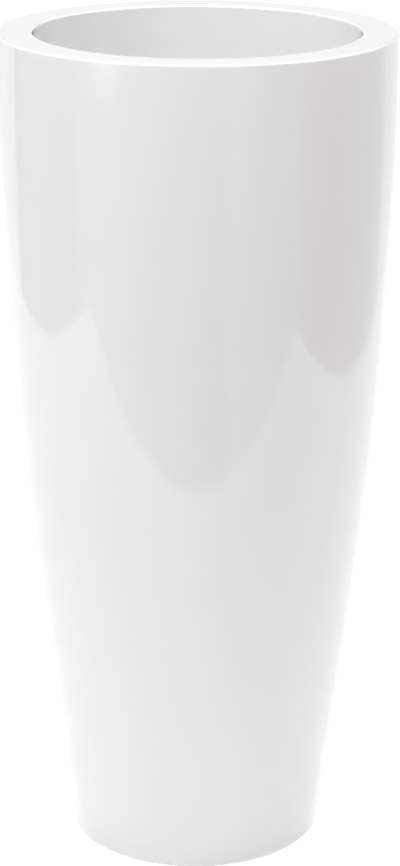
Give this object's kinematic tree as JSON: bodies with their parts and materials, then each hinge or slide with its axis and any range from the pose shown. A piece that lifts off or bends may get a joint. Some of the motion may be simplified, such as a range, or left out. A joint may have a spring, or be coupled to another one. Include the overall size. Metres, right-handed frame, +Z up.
{
  "type": "floor planter",
  "caption": "Tall round floor planter: gloss shell with a flat rim, and a lift-out planting insert with fold-down handles, soil grid, watering shaft and water gauge.",
  "frame": {"origin": "on the floor, under the middle of the foot", "axes": "+Z up along the planter's own axis; +Y towards the watering shaft and the water gauge; +X towards the watering shaft"},
  "size_m": [0.42, 0.42, 0.9],
  "materials": {
    "gloss_lacquer": "high-gloss white lacquer on a glass-fibre shell",
    "laminate": "raw glass-fibre laminate",
    "rubber": "matt black rubber",
    "fitting_plastic": "moulded dark grey plastic",
    "liner_plastic": "moulded light grey plastic with a fine satin grain",
    "steel_wire": "drawn steel wire",
    "fleece": "needled capillary fleece",
    "clear_cap": "clear moulded plastic",
    "float_plastic": "white foamed plastic",
    "signal_red": "red moulded plastic"
  },
  "bodies": {
    "planter": {"outer_shell": "gloss_lacquer", "base_plate": "laminate", "foot_pads": "rubber", "drain_bush": "fitting_plastic", "bush_seal": "rubber", "bush_nut": "fitting_plastic", "insert_ledge": "laminate"},
    "bung": {"base_bung": "rubber", "bung_ring": "steel_wire"},
    "insert": {"planting_insert": "liner_plastic"},
    "front_handle": {"front_bail": "steel_wire", "front_grip": "liner_plastic"},
    "back_handle": {"back_bail": "steel_wire", "back_grip": "liner_plastic"},
    "plug": {"drain_plug": "fitting_plastic", "plug_seal": "rubber"},
    "grid": {"soil_grid": "fitting_plastic", "grid_legs": "fitting_plastic", "wicks": "fleece", "filler_tube": "fitting_plastic", "lid_pin": "steel_wire", "gauge_tube": "fitting_plastic", "gauge_cap": "clear_cap"},
    "lid": {"filler_lid": "liner_plastic"},
    "float": {"gauge_float": "float_plastic", "gauge_rod": "steel_wire", "gauge_tip": "signal_red"}
  },
  "joints": [
    {"name": "bung_pull", "type": "slide", "parent": "planter", "child": "bung", "axis": [0, 0, 1], "range_m": [0, 0.04]},
    {"name": "insert_lift", "type": "slide", "parent": "planter", "child": "insert", "axis": [0, 0, 1], "range_m": [0, 0.44]},
    {"name": "front_handle_fold", "type": "hinge", "parent": "insert", "child": "front_handle", "pos_m": [0, -0.0085, 0.8258], "axis": [-1, 0, 0], "range_deg": [0, 90]},
    {"name": "back_handle_fold", "type": "hinge", "parent": "insert", "child": "back_handle", "pos_m": [0, 0.0085, 0.8258], "axis": [1, 0, 0], "range_deg": [0, 90]},
    {"name": "plug_pull", "type": "slide", "parent": "insert", "child": "plug", "axis": [0, 0, -1], "range_m": [0, 0.03]},
    {"name": "grid_lift", "type": "slide", "parent": "insert", "child": "grid", "axis": [0, 0, 1], "range_m": [0, 0.5]},
    {"name": "lid_hinge", "type": "hinge", "parent": "grid", "child": "lid", "pos_m": [0.046, 0.102, 0.82585], "axis": [-1, 0, 0], "range_deg": [0, 105]},
    {"name": "float_rise", "type": "slide", "parent": "grid", "child": "float", "axis": [0, 0, 1], "range_m": [0, 0.045]}
  ]
}
